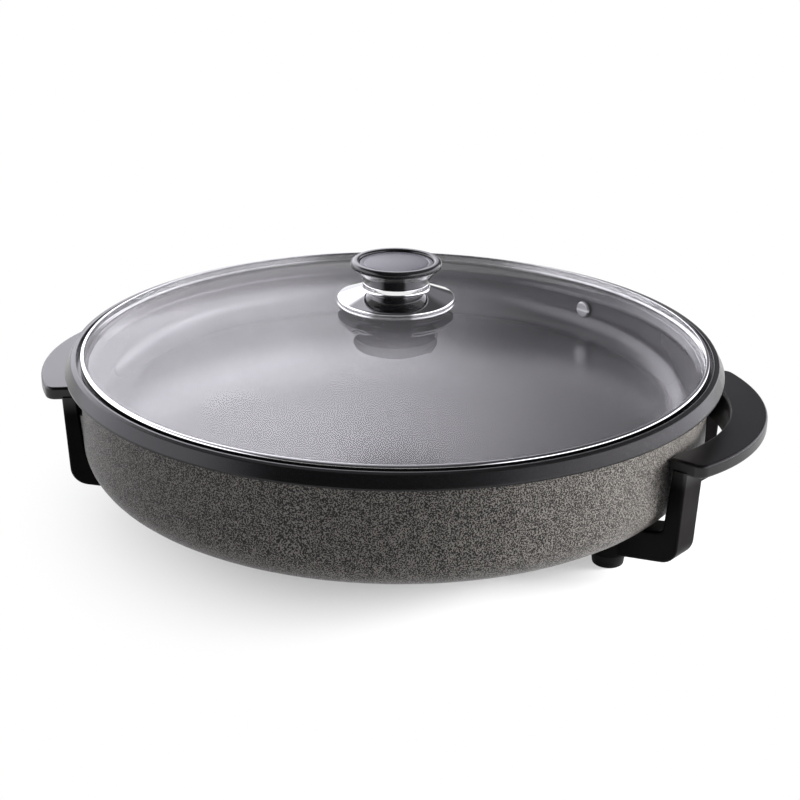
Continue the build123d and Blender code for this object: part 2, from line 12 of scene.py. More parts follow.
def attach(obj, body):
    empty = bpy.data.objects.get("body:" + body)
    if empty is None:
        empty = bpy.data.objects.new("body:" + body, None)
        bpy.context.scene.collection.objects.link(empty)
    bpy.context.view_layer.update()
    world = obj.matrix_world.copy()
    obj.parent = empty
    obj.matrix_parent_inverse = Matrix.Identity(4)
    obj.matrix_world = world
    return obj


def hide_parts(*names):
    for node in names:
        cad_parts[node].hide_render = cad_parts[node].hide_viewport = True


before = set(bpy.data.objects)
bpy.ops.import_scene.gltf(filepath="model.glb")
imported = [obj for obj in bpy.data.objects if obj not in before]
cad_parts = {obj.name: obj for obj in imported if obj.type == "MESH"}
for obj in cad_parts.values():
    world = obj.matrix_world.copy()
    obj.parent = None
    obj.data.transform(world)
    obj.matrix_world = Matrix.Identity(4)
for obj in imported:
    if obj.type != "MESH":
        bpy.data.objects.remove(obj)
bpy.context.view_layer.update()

LOG = logging.getLogger("electric_pan")
MM = 0.001
MERGE_GAP = 0.01 * MM
PICK_GAP = 0.005 * MM
SMOOTH_ANGLE = math.radians(40.0)
BEVEL_SEGMENTS = 6
ROUND_PROFILE = 0.5
INWARD = -1.0

Socket = bpy.types.NodeSocket
Feed = float | tuple | Socket
Rgba = tuple[float, float, float, float]
Range = tuple[float, float]
Triple = tuple[float, float, float]
Step = tuple[float, float, float, float]


class Body(str, Enum):
    """Bodies of the frame that new pieces ride on."""

    LID = "lid"


class Slot(str, Enum):
    """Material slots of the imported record."""

    LID_GLASS = "lid_glass"
    BAND_STEEL = "band_steel"
    KNOB_CHROME = "knob_chrome"
    KNOB_PLASTIC = "knob_plastic"
    CAP_PLASTIC = "cap_plastic"


def grey(level: float) -> Rgba:
    """Plain grey of one level."""
    return (level, level, level, 1.0)


class NodeBench:
    """Places and joins the nodes of one shader tree."""

    def __init__(self, tree: bpy.types.NodeTree) -> None:
        """Keep the tree that is worked on."""
        self.tree = tree

    def put(self, kind: str, inputs: dict | None = None, **settings: object) -> bpy.types.Node:
        """Add a node.

        Args:
            kind: Node type.
            inputs: Constants or sockets, by input name or number.
            settings: Values set on the node itself.

        Returns:
            The new node.
        """
        node = self.tree.nodes.new(kind)
        for key, value in settings.items():
            setattr(node, key, value)
        for key, value in (inputs or {}).items():
            self.feed(node.inputs[key], value)
        return node

    def feed(self, socket: Socket, value: Feed) -> None:
        """Link a socket into an input, or set a constant on it.

        Args:
            socket: Input to feed.
            value: Socket to link, or constant to set.
        """
        if isinstance(value, bpy.types.NodeSocket):
            self.tree.links.new(value, socket)
        else:
            socket.default_value = value

    def math(self, operation: str, first: Feed, second: Feed = 0.0) -> Socket:
        """Result of one Math node."""
        return self.put("ShaderNodeMath", {0: first, 1: second}, operation=operation).outputs[0]

    def ramp(self, value: Feed, low: float, high: float, start: float = 0.0, end: float = 1.0) -> Socket:
        """Smooth step of a value.

        Args:
            value: Value to read.
            low: Value at which the step starts.
            high: Value at which it ends.
            start: Result at and before low.
            end: Result at and after high.

        Returns:
            The stepped value.
        """
        inputs = {"Value": value, "From Min": low, "From Max": high, "To Min": start, "To Max": end}
        return self.put("ShaderNodeMapRange", inputs, interpolation_type="SMOOTHSTEP").outputs[0]

    def blend(self, factor: Feed, first: Feed, second: Feed) -> Socket:
        """Colour between two colours."""
        inputs = {0: factor, 6: first, 7: second}
        return self.put("ShaderNodeMix", inputs, data_type="RGBA").outputs[2]

    def level(self, factor: Feed, first: Feed, second: Feed) -> Socket:
        """Number between two numbers."""
        return self.put("ShaderNodeMix", {0: factor, 2: first, 3: second}).outputs[0]

    def noise(self, place: Feed, scale: Feed, detail: float = 2.0, roughness: float = 0.5) -> Socket:
        """Noise value at a place."""
        inputs = {"Vector": place, "Scale": scale, "Detail": detail, "Roughness": roughness}
        return self.put("ShaderNodeTexNoise", inputs).outputs[0]

    def along(self, ray: Socket, axis: Vector) -> Socket:
        """Share of a direction that runs along an axis."""
        return self.put("ShaderNodeVectorMath", {0: ray, 1: axis}, operation="DOT_PRODUCT").outputs["Value"]

    def group(self, effect: "Effect", **inputs: Feed) -> bpy.types.Node:
        """Place a shared effect with its own values."""
        named = {key.replace("_", " ").title(): value for key, value in inputs.items()}
        return self.put("ShaderNodeGroup", named, node_tree=effect.tree())


class Effect:
    """Shader node group that several finishes share, built once."""

    name: str = ""
    inputs: dict[str, tuple[str, float | tuple]] = {}
    outputs: tuple[str, ...] = ()

    def tree(self) -> bpy.types.NodeTree:
        """Group of this effect, built on its first use."""
        found = bpy.data.node_groups.get(self.name)
        return found or self.build()

    def build(self) -> bpy.types.NodeTree:
        """Make the group with its sockets and its nodes.

        Returns:
            The finished group.
        """
        tree = bpy.data.node_groups.new(self.name, "ShaderNodeTree")
        for name, (kind, value) in self.inputs.items():
            socket = tree.interface.new_socket(name, in_out="INPUT", socket_type=kind)
            if kind == "NodeSocketFloat":
                socket.default_value = value
        for name in self.outputs:
            tree.interface.new_socket(name, in_out="OUTPUT", socket_type="NodeSocketFloat")
        bench = NodeBench(tree)
        given = bench.put("NodeGroupInput").outputs
        results = self.work(bench, given)
        bench.put("NodeGroupOutput", dict(zip(self.outputs, results)))
        return tree

    def work(self, bench: NodeBench, given: bpy.types.NodeOutputs) -> tuple[Socket, ...]:
        """Nodes between the group's inputs and outputs."""
        raise NotImplementedError


PLACE = ("NodeSocketVector", (0.0, 0.0, 0.0))


class AxisPlace(Effect):
    """Radius from the pan's axis and height above the table, in millimetres."""

    name = "Axis place"
    inputs = {"Place": PLACE}
    outputs = ("Radius", "Height")

    def work(self, bench: NodeBench, given: bpy.types.NodeOutputs) -> tuple[Socket, ...]:
        """Split the place into radius and height.

        Args:
            bench: Bench of the group.
            given: The group's inputs.

        Returns:
            Radius and height.
        """
        parts = bench.put("ShaderNodeSeparateXYZ", {0: given["Place"]}).outputs
        across = bench.put("ShaderNodeCombineXYZ", {0: parts[0], 1: parts[1]}).outputs[0]
        length = bench.put("ShaderNodeVectorMath", {0: across}, operation="LENGTH").outputs["Value"]
        return bench.math("DIVIDE", length, MM), bench.math("DIVIDE", parts[2], MM)


class HammerFleck(Effect):
    """Short worm-like flecks of hammered paint."""

    name = "Hammer fleck"
    inputs = {"Place": PLACE, "Fleck Size": ("NodeSocketFloat", 1.5)}
    outputs = ("Mask", "Height")
    detail: float = 0.6
    patch_scale: float = 0.15
    patch_detail: float = 1.0
    patch_middle: float = 0.5
    patch_pull: float = 0.12
    edge: Range = (0.44, 0.62)

    def work(self, bench: NodeBench, given: bpy.types.NodeOutputs) -> tuple[Socket, ...]:
        """Sharpen one octave of noise into flecks, which thin out in patches.

        Args:
            bench: Bench of the group.
            given: The group's inputs.

        Returns:
            Mask of the flecks, and their height.
        """
        scale = bench.math("DIVIDE", 1.0 / MM, given["Fleck Size"])
        fine = bench.noise(given["Place"], scale, self.detail)
        broad = bench.math("MULTIPLY", scale, self.patch_scale)
        patch = bench.noise(given["Place"], broad, self.patch_detail)
        pull = bench.math("MULTIPLY", bench.math("SUBTRACT", patch, self.patch_middle), self.patch_pull)
        return bench.ramp(bench.math("ADD", fine, pull), *self.edge), fine


class MouldGrain(Effect):
    """Fine even grain of a moulded or sprayed surface."""

    name = "Mould grain"
    inputs = {"Place": PLACE, "Grain Size": ("NodeSocketFloat", 0.5)}
    outputs = ("Mask", "Height")
    cell_share: float = 0.6
    noise_share: float = 0.4
    noise_scale: float = 1.7
    edge: Range = (0.35, 0.7)

    def work(self, bench: NodeBench, given: bpy.types.NodeOutputs) -> tuple[Socket, ...]:
        """Mix small cells with a fine noise.

        Args:
            bench: Bench of the group.
            given: The group's inputs.

        Returns:
            Mask of the grain, and its height.
        """
        scale = bench.math("DIVIDE", 1.0 / MM, given["Grain Size"])
        cells = bench.put("ShaderNodeTexVoronoi", {"Vector": given["Place"], "Scale": scale}).outputs
        fine = bench.noise(given["Place"], bench.math("MULTIPLY", scale, self.noise_scale))
        coarse = bench.math("MULTIPLY", cells["Distance"], self.cell_share)
        height = bench.math("ADD", coarse, bench.math("MULTIPLY", fine, self.noise_share))
        return bench.ramp(fine, *self.edge), height


class HandlingMarks(Effect):
    """Soft smudges and sparse fine scratches from use."""

    name = "Handling marks"
    inputs = {"Place": PLACE, "Patch Size": ("NodeSocketFloat", 40.0)}
    outputs = ("Smudge", "Scratch")
    smudge_detail: float = 3.0
    smudge_roughness: float = 0.6
    smudge_edge: Range = (0.35, 0.72)
    streak_turn: Triple = (0.3, 0.2, 0.9)
    streak_stretch: Triple = (1.0, 14.0, 3.0)
    streak_scale: float = 3.0
    streak_detail: float = 4.0
    streak_roughness: float = 0.65
    streak_edge: Range = (0.66, 0.71)

    def work(self, bench: NodeBench, given: bpy.types.NodeOutputs) -> tuple[Socket, ...]:
        """Broad patches, and thin bands of a stretched noise.

        Args:
            bench: Bench of the group.
            given: The group's inputs.

        Returns:
            Masks of the smudges and of the scratches.
        """
        scale = bench.math("DIVIDE", 1.0 / MM, given["Patch Size"])
        cloud = bench.noise(given["Place"], scale, self.smudge_detail, self.smudge_roughness)
        smudge = bench.ramp(cloud, *self.smudge_edge)
        stretch = {"Vector": given["Place"], "Rotation": self.streak_turn, "Scale": self.streak_stretch}
        along = bench.put("ShaderNodeMapping", stretch).outputs[0]
        thin = bench.math("MULTIPLY", scale, self.streak_scale)
        streak = bench.noise(along, thin, self.streak_detail, self.streak_roughness)
        return smudge, bench.math("MULTIPLY", bench.ramp(streak, *self.streak_edge), smudge)


class TurnedLines(Effect):
    """Fine rings left by turning or spinning a piece about its axis."""

    name = "Turned lines"
    inputs = {"Place": PLACE, "Line Spacing": ("NodeSocketFloat", 0.5)}
    outputs = ("Mask", "Height")
    wave_share: float = 0.25
    break_scale: float = 0.8
    break_detail: float = 3.0
    edge: Range = (0.35, 0.65)

    def work(self, bench: NodeBench, given: bpy.types.NodeOutputs) -> tuple[Socket, ...]:
        """Wave along the radius, broken up by a noise.

        Args:
            bench: Bench of the group.
            given: The group's inputs.

        Returns:
            Mask of the lines, and their height.
        """
        radius = bench.group(AxisPlace(), place=given["Place"]).outputs["Radius"]
        turns = bench.math("DIVIDE", radius, given["Line Spacing"])
        wave = bench.math("SINE", bench.math("MULTIPLY", turns, 2.0 * math.pi))
        breaks = {"W": turns, "Scale": self.break_scale, "Detail": self.break_detail}
        rough = bench.put("ShaderNodeTexNoise", breaks, noise_dimensions="1D").outputs[0]
        height = bench.math("ADD", bench.math("MULTIPLY", wave, self.wave_share), rough)
        return bench.ramp(rough, *self.edge), height


@dataclass(frozen=True)
class Finish:
    """Material with a Principled shader whose inputs are worked out by nodes."""

    name: str

    def material(self) -> bpy.types.Material:
        """Material of this finish, made on its first use."""
        return bpy.data.materials.get(self.name) or self.make()

    def make(self) -> bpy.types.Material:
        """Make the material.

        Returns:
            The finished material.
        """
        made = bpy.data.materials.new(self.name)
        made.use_nodes = True
        made.node_tree.nodes.clear()
        bench = NodeBench(made.node_tree)
        shader = bench.put("ShaderNodeBsdfPrincipled")
        place = bench.put("ShaderNodeTexCoord").outputs["Object"]
        surface = self.work(bench, shader, place) or shader.outputs[0]
        bench.put("ShaderNodeOutputMaterial", {"Surface": surface})
        return made

    def work(self, bench: NodeBench, shader: bpy.types.Node, place: Socket) -> Socket | None:
        """Feed the shader, and return another surface where the finish needs one."""
        raise NotImplementedError


def bump(bench: NodeBench, shader: bpy.types.Node, height: Feed, depth: float) -> None:
    """Raise a shader's normal by a height.

    Args:
        bench: Bench of the material.
        shader: Shader whose Normal is fed.
        height: Height from 0 to 1.
        depth: Height of 1, in millimetres.
    """
    inputs = {"Height": height, "Distance": depth * MM, "Strength": 1.0}
    bench.feed(shader.inputs["Normal"], bench.put("ShaderNodeBump", inputs).outputs[0])


@dataclass(frozen=True)
class CookingCoat(Finish):
    """Grey non-stick coating inside the cooking pan, and a darker sprayed rim whose colour also runs into the
    gap beside the lid's band as painted shade.
    """

    name: str = "cooking coat"
    rim_coat_and_gap_shade_start: float = 200.9  # radius from which the rim's dark coat shows; inside the lip it is painted shade on the seat and recess wall in the gap beside the lid's band
    rim_blur: float = 0.3
    rim_colour: Rgba = (0.003, 0.0029, 0.003, 1.0)
    rim_speck: Rgba = (0.009, 0.0088, 0.009, 1.0)
    rim_roughness: Range = (0.16, 0.22)
    rim_grain: float = 0.04
    inside_dark: Rgba = (0.088, 0.085, 0.091, 1.0)
    inside_light: Rgba = (0.096, 0.093, 0.099, 1.0)
    inside_roughness: Range = (0.22, 0.27)
    inside_metallic: float = 0.15
    shine: float = 0.3
    coat_roughness: float = 0.23
    grain_size: float = 0.5
    patch_size: float = 55.0

    def work(self, bench: NodeBench, shader: bpy.types.Node, place: Socket) -> None:
        """Mask the rim by radius and mix the two coats; the mask starts inside the lip, so the dark coat also
        paints shade into the gap beside the lid's band.

        Args:
            bench: Bench of the material.
            shader: Principled shader to feed.
            place: Place on the piece.
        """
        radius = bench.group(AxisPlace(), place=place).outputs["Radius"]
        # rim coat mask, which also paints shade over the seat and the recess wall in the gap beside the lid's
        # band
        rim = bench.ramp(radius, self.rim_coat_and_gap_shade_start - self.rim_blur, self.rim_coat_and_gap_shade_start + self.rim_blur)
        grain = bench.group(MouldGrain(), place=place, grain_size=self.grain_size).outputs
        marks = bench.group(HandlingMarks(), place=place, patch_size=self.patch_size).outputs

        inside = bench.blend(marks["Smudge"], self.inside_dark, self.inside_light)
        edge = bench.blend(grain["Mask"], self.rim_colour, self.rim_speck)
        bench.feed(shader.inputs["Base Color"], bench.blend(rim, inside, edge))
        bench.feed(shader.inputs["Specular IOR Level"], self.shine)
        bench.feed(shader.inputs["Coat Weight"], bench.level(rim, 1.0, 0.0))
        bench.feed(shader.inputs["Coat Roughness"], self.coat_roughness)
        coated = bench.level(marks["Smudge"], *self.inside_roughness)
        trimmed = bench.level(grain["Mask"], *self.rim_roughness)
        bench.feed(shader.inputs["Roughness"], bench.level(rim, coated, trimmed))
        bench.feed(shader.inputs["Metallic"], bench.level(rim, self.inside_metallic, 0.0))
        bump(bench, shader, bench.math("MULTIPLY", grain["Height"], rim), self.rim_grain)


@dataclass(frozen=True)
class HammerPaint(Finish):
    """Grey paint that dries into light flecks on a dark ground."""

    name: str = "hammer paint"
    dark: Rgba = (0.0045, 0.004, 0.0036, 1.0)
    light: Rgba = (0.13, 0.121, 0.112, 1.0)
    ground_roughness: Range = (0.42, 0.47)
    fleck_roughness: float = 0.38
    metallic: Range = (0.15, 0.4)
    shine: float = 0.2
    fleck_size: float = 0.72
    fleck_depth: float = 0.07
    patch_size: float = 55.0

    def work(self, bench: NodeBench, shader: bpy.types.Node, place: Socket) -> None:
        """Flecks in the colour, roughness and bump, with faint smudges over them.

        Args:
            bench: Bench of the material.
            shader: Principled shader to feed.
            place: Place on the piece.
        """
        fleck = bench.group(HammerFleck(), place=place, fleck_size=self.fleck_size).outputs
        marks = bench.group(HandlingMarks(), place=place, patch_size=self.patch_size).outputs
        bench.feed(shader.inputs["Base Color"], bench.blend(fleck["Mask"], self.dark, self.light))
        bench.feed(shader.inputs["Specular IOR Level"], self.shine)
        ground = bench.level(marks["Smudge"], *self.ground_roughness)
        bench.feed(shader.inputs["Roughness"], bench.level(fleck["Mask"], ground, self.fleck_roughness))
        bench.feed(shader.inputs["Metallic"], bench.level(fleck["Mask"], *self.metallic))
        bump(bench, shader, fleck["Height"], self.fleck_depth)


@dataclass(frozen=True)
class MouldedPlastic(Finish):
    """Dark heat-proof plastic with a fine mould grain and rubbed patches."""

    name: str = "moulded plastic"
    colour: Rgba = (0.0018, 0.0014, 0.0015, 1.0)
    rubbed: Rgba = (0.003, 0.0026, 0.0028, 1.0)
    roughness: float = 0.34
    clean_dull: float = 0.04
    rubbed_gloss: float = 0.03
    grain_dull: float = 0.08
    shine: float = 0.04
    grain_size: float = 0.4
    grain_depth: float = 0.03
    patch_size: float = 30.0
    polish_start: float = 64.0  # height from which hands have polished the grip
    polish_end: float = 78.0
    polish: float = 0.85

    def work(self, bench: NodeBench, shader: bpy.types.Node, place: Socket) -> None:
        """Grain in the bump, smudges in the colour and roughness, and a polish that grows upwards.

        Args:
            bench: Bench of the material.
            shader: Principled shader to feed.
            place: Place on the piece.
        """
        grain = bench.group(MouldGrain(), place=place, grain_size=self.grain_size).outputs
        marks = bench.group(HandlingMarks(), place=place, patch_size=self.patch_size).outputs
        bench.feed(shader.inputs["Base Color"], bench.blend(marks["Smudge"], self.colour, self.rubbed))
        bench.feed(shader.inputs["Specular IOR Level"], self.shine)
        height = bench.group(AxisPlace(), place=place).outputs["Height"]
        polished = bench.ramp(height, self.polish_start, self.polish_end, 0.0, self.polish)
        bench.feed(shader.inputs["Coat Weight"], polished)
        bench.feed(shader.inputs["Coat Roughness"], self.roughness)
        clean, worn = self.roughness + self.clean_dull, self.roughness - self.rubbed_gloss
        base = bench.level(marks["Smudge"], clean, worn)
        dull = self.roughness + self.grain_dull
        bench.feed(shader.inputs["Roughness"], bench.level(grain["Mask"], base, dull))
        bump(bench, shader, grain["Height"], self.grain_depth)


@dataclass(frozen=True)
class PolishedPlastic(Finish):
    """Polished plastic with a few hairline scratches."""

    name: str = "polished plastic"
    colour: Rgba = (0.007, 0.007, 0.0075, 1.0)
    worn: Rgba = (0.02, 0.02, 0.021, 1.0)
    roughness: float = 0.09
    smudge_dull: float = 0.05
    scratch_roughness: float = 0.3
    scratch_depth: float = 0.01
    patch_size: float = 9.0

    def work(self, bench: NodeBench, shader: bpy.types.Node, place: Socket) -> None:
        """Smudges dull the polish, scratches lighten it.

        Args:
            bench: Bench of the material.
            shader: Principled shader to feed.
            place: Place on the piece.
        """
        marks = bench.group(HandlingMarks(), place=place, patch_size=self.patch_size).outputs
        bench.feed(shader.inputs["Base Color"], bench.blend(marks["Scratch"], self.colour, self.worn))
        dull = bench.level(marks["Smudge"], self.roughness, self.roughness + self.smudge_dull)
        bench.feed(shader.inputs["Roughness"], bench.level(marks["Scratch"], dull, self.scratch_roughness))
        bump(bench, shader, marks["Scratch"], -self.scratch_depth)


@dataclass(frozen=True)
class CapFinish(Finish):
    """Satin disc with a spun sheen and one fine ring."""

    name: str = "cap satin"
    colour: Rgba = (0.06, 0.058, 0.074, 1.0)
    ring_colour: Rgba = (0.2, 0.195, 0.225, 1.0)
    ring_radius: float = 20.7
    ring_width: float = 0.5
    ring_fade: float = 3.0  # the ring is at its lightest over its width divided by this
    roughness: Range = (0.3, 0.38)
    metallic: Range = (0.2, 0.6)
    line_spacing: float = 0.35
    line_depth: float = 0.01

    def work(self, bench: NodeBench, shader: bpy.types.Node, place: Socket) -> None:
        """Spun lines in the roughness, and a ring picked out by radius.

        Args:
            bench: Bench of the material.
            shader: Principled shader to feed.
            place: Place on the piece.
        """
        radius = bench.group(AxisPlace(), place=place).outputs["Radius"]
        lines = bench.group(TurnedLines(), place=place, line_spacing=self.line_spacing).outputs
        off_ring = bench.math("ABSOLUTE", bench.math("SUBTRACT", radius, self.ring_radius))
        ring = bench.ramp(off_ring, self.ring_width, self.ring_width / self.ring_fade)
        bench.feed(shader.inputs["Base Color"], bench.blend(ring, self.colour, self.ring_colour))
        bench.feed(shader.inputs["Roughness"], bench.level(lines["Mask"], *self.roughness))
        bench.feed(shader.inputs["Metallic"], bench.level(ring, *self.metallic))
        bump(bench, shader, lines["Height"], self.line_depth)


@dataclass(frozen=True)
class ClearGlass(Finish):
    """Clear tempered glass with a faint green body and wiped marks."""

    name: str = "clear glass"
    tint: Rgba = (0.985, 0.995, 0.99, 1.0)
    passed: Rgba = grey(0.97)  # colour of light that goes straight through
    clarity: float = 0.89  # share of the surface that reflects nothing
    refraction: float = 1.5
    wiped_roughness: float = 0.005
    scratch_roughness: float = 0.012
    patch_size: float = 70.0

    def work(self, bench: NodeBench, shader: bpy.types.Node, place: Socket) -> Socket:
        """Glass for the eye, and clear for light and shadow rays that pass through it.

        Args:
            bench: Bench of the material.
            shader: Principled shader to feed.
            place: Place on the piece.

        Returns:
            Surface shown in place of the shader's own.
        """
        marks = bench.group(HandlingMarks(), place=place, patch_size=self.patch_size).outputs
        wiped = bench.level(marks["Smudge"], 0.0, self.wiped_roughness)
        bench.feed(shader.inputs["Roughness"], bench.level(marks["Scratch"], wiped, self.scratch_roughness))
        bench.feed(shader.inputs["Base Color"], self.tint)
        bench.feed(shader.inputs["Transmission Weight"], 1.0)
        bench.feed(shader.inputs["IOR"], self.refraction)
        rays = bench.put("ShaderNodeLightPath").outputs
        passing = bench.math("MAXIMUM", rays["Is Shadow Ray"], rays["Is Diffuse Ray"])
        passing = bench.math("MAXIMUM", passing, self.clarity)
        clear = bench.put("ShaderNodeBsdfTransparent", {"Color": self.passed}).outputs[0]
        return bench.put("ShaderNodeMixShader", {0: passing, 1: shader.outputs[0], 2: clear}).outputs[0]


@dataclass(frozen=True)
class TurnedMetal(Finish):
    """Metal with turned lines, smudges and scratches."""

    name: str = "turned metal"
    colour: Rgba = (0.72, 0.72, 0.73, 1.0)
    dull: Rgba = (0.6, 0.6, 0.61, 1.0)
    roughness: float = 0.2
    line_spacing: float = 0.5
    line_depth: float = 0.006
    patch_size: float = 14.0
    line_gain: float = 1.4  # roughness in the lines is this many times the rest, and a little more
    line_dull: float = 0.01
    scratch_dull: float = 0.2

    def work(self, bench: NodeBench, shader: bpy.types.Node, place: Socket) -> None:
        """Lines in the bump and roughness, smudges in the colour.

        Args:
            bench: Bench of the material.
            shader: Principled shader to feed.
            place: Place on the piece.
        """
        lines = bench.group(TurnedLines(), place=place, line_spacing=self.line_spacing).outputs
        marks = bench.group(HandlingMarks(), place=place, patch_size=self.patch_size).outputs
        bench.feed(shader.inputs["Base Color"], bench.blend(marks["Smudge"], self.colour, self.dull))
        bench.feed(shader.inputs["Metallic"], 1.0)
        lined = self.roughness * self.line_gain + self.line_dull
        base = bench.level(lines["Mask"], self.roughness, lined)
        scratched = self.roughness + self.scratch_dull
        bench.feed(shader.inputs["Roughness"], bench.level(marks["Scratch"], base, scratched))
        bump(bench, shader, lines["Height"], self.line_depth)


@dataclass(frozen=True)
class GrainedSolid(Finish):
    """Dull solid with a grain, for ceramic, seals and the heater's sheath."""

    name: str = "grained solid"
    colour: Rgba = grey(0.5)
    stain: Rgba = grey(0.4)
    roughness: float = 0.6
    metallic: float = 0.0
    grain_size: float = 0.3
    grain_depth: float = 0.04
    grain_dull: float = 0.12
    patch_size: float = 12.0

    def work(self, bench: NodeBench, shader: bpy.types.Node, place: Socket) -> None:
        """Grain in the bump, stains in the colour.

        Args:
            bench: Bench of the material.
            shader: Principled shader to feed.
            place: Place on the piece.
        """
        grain = bench.group(MouldGrain(), place=place, grain_size=self.grain_size).outputs
        marks = bench.group(HandlingMarks(), place=place, patch_size=self.patch_size).outputs
        bench.feed(shader.inputs["Base Color"], bench.blend(marks["Smudge"], self.colour, self.stain))
        bench.feed(shader.inputs["Metallic"], self.metallic)
        rough = bench.level(grain["Mask"], self.roughness, self.roughness + self.grain_dull)
        bench.feed(shader.inputs["Roughness"], rough)
        bump(bench, shader, grain["Height"], self.grain_depth)


@dataclass(frozen=True)
class FloorWhite(Finish):
    """White sweep that keeps the pan's shadow near its middle, with a painted glow that fades the shadow out
    and stays white further out.
    """

    name: str = "floor white"
    colour: Rgba = grey(0.9)
    speck: Rgba = grey(0.885)
    roughness: float = 0.9
    grain_size: float = 2.0
    near: float = 80.0
    far: float = 255.0
    near_glow: float = 0.15  # share of the painted glow under the pan's middle, where the shadow shows most

    def work(self, bench: NodeBench, shader: bpy.types.Node, place: Socket) -> Socket:
        """Diffuse for light, with a painted glow for seen rays that grows outwards and fades the pan's
        shadow.

        Args:
            bench: Bench of the material.
            shader: Principled shader to feed.
            place: Place on the piece.

        Returns:
            Surface shown in place of the shader's own.
        """
        radius = bench.group(AxisPlace(), place=place).outputs["Radius"]
        # painted glow that rises with radius, lightening the pan's shadow into the white floor
        share = bench.ramp(radius, self.near, self.far, self.near_glow, 1.0)
        paper = bench.group(MouldGrain(), place=place, grain_size=self.grain_size).outputs
        bench.feed(shader.inputs["Base Color"], bench.blend(paper["Mask"], self.colour, self.speck))
        bench.feed(shader.inputs["Roughness"], self.roughness)
        rays = bench.put("ShaderNodeLightPath").outputs
        seen = bench.math("MAXIMUM", rays["Is Camera Ray"], rays["Is Glossy Ray"])
        seen = bench.math("MAXIMUM", seen, rays["Is Transmission Ray"])
        glow = bench.put("ShaderNodeEmission", {"Color": grey(1.0), "Strength": 1.0}).outputs[0]
        shadow_fading_glow = bench.math("MULTIPLY", seen, share)
        return bench.put("ShaderNodeMixShader", {0: shadow_fading_glow, 1: shader.outputs[0], 2: glow}).outputs[0]


@dataclass(frozen=True)
class Corner:
    """Corner of a turned profile, in millimetres."""

    radius: float
    height: float
    rounding: float = 0.0


class Lathe:
    """Draws a profile by extruding a point and spins it about the pan's axis."""

    def __init__(self, name: str, corners: list[Corner], steps: int = 192, closed: bool = True) -> None:
        """Keep what is to be turned.

        Args:
            name: Name of the piece.
            corners: Profile in order.
            steps: Faces round the axis.
            closed: Join the last corner to the first.
        """
        self.name = name
        self.corners = corners
        self.steps = steps
        self.closed = closed

    def turn(self) -> bpy.types.Object:
        """Model the piece.

        Returns:
            The turned piece, at the origin.
        """
        piece = self.draw()
        for number, corner in enumerate(self.corners):
            if corner.rounding > 0.0:
                self.round_corner(piece, number)
        bpy.ops.object.mode_set(mode="EDIT")
        bpy.ops.mesh.select_all(action="SELECT")
        bpy.ops.mesh.spin(steps=self.steps, angle=2.0 * math.pi, center=(0, 0, 0), axis=(0, 0, 1))
        bpy.ops.mesh.select_all(action="SELECT")
        bpy.ops.mesh.remove_doubles(threshold=MERGE_GAP)
        bpy.ops.mesh.normals_make_consistent(inside=False)
        bpy.ops.object.mode_set(mode="OBJECT")
        bpy.ops.object.shade_smooth_by_angle(angle=SMOOTH_ANGLE)
        return piece

    def draw(self) -> bpy.types.Object:
        """Extrude one point from corner to corner.

        Returns:
            The drawn profile, in object mode.
        """
        start = self.corners[0]
        bpy.ops.object.select_all(action="DESELECT")
        bpy.ops.mesh.primitive_plane_add(size=MM, location=(start.radius * MM, 0.0, start.height * MM))
        piece = bpy.context.object
        piece.name = self.name
        piece.data.name = self.name
        bpy.ops.object.transform_apply(location=True, rotation=True, scale=True)
        bpy.ops.object.mode_set(mode="EDIT")
        bpy.ops.mesh.select_mode(type="VERT")
        bpy.ops.mesh.merge(type="CENTER")
        for before, after in zip(self.corners, self.corners[1:]):
            step = ((after.radius - before.radius) * MM, 0.0, (after.height - before.height) * MM)
            bpy.ops.mesh.extrude_vertices_move(TRANSFORM_OT_translate={"value": step})
        if self.closed:
            self.pick(piece, [self.corners[0], self.corners[-1]])
            bpy.ops.object.mode_set(mode="EDIT")
            bpy.ops.mesh.edge_face_add()
        bpy.ops.object.mode_set(mode="OBJECT")
        return piece

    def pick(self, piece: bpy.types.Object, corners: list[Corner]) -> None:
        """Select the points at some corners, in object mode.

        Args:
            piece: Drawn profile.
            corners: Corners to select.
        """
        bpy.ops.object.mode_set(mode="EDIT")
        bpy.ops.mesh.select_all(action="DESELECT")
        bpy.ops.object.mode_set(mode="OBJECT")
        for point in piece.data.vertices:
            for corner in corners:
                place = Vector((corner.radius * MM, 0.0, corner.height * MM))
                if (point.co - place).length < PICK_GAP:
                    point.select = True

    def round_corner(self, piece: bpy.types.Object, number: int) -> None:
        """Bevel one corner of the profile to its rounding.

        Args:
            piece: Drawn profile.
            number: Corner's place in the profile.
        """
        corner = self.corners[number]
        before = self.corners[number - 1]
        after = self.corners[(number + 1) % len(self.corners)]
        back = Vector((before.radius - corner.radius, before.height - corner.height)).normalized()
        ahead = Vector((after.radius - corner.radius, after.height - corner.height)).normalized()
        half_turn = (math.pi - back.angle(ahead)) / 2.0
        self.pick(piece, [corner])
        bpy.ops.object.mode_set(mode="EDIT")
        offset = corner.rounding * math.tan(half_turn) * MM
        bpy.ops.mesh.bevel(offset=offset, segments=BEVEL_SEGMENTS, affect="VERTICES", profile=ROUND_PROFILE)
        bpy.ops.object.mode_set(mode="OBJECT")


def dress(piece: bpy.types.Object, finish: Finish) -> None:
    """Give a piece one finish in all its slots.

    Args:
        piece: Piece to dress.
        finish: Finish that it shows.
    """
    if not piece.material_slots:
        piece.data.materials.append(finish.material())
    for slot in piece.material_slots:
        slot.material = finish.material()


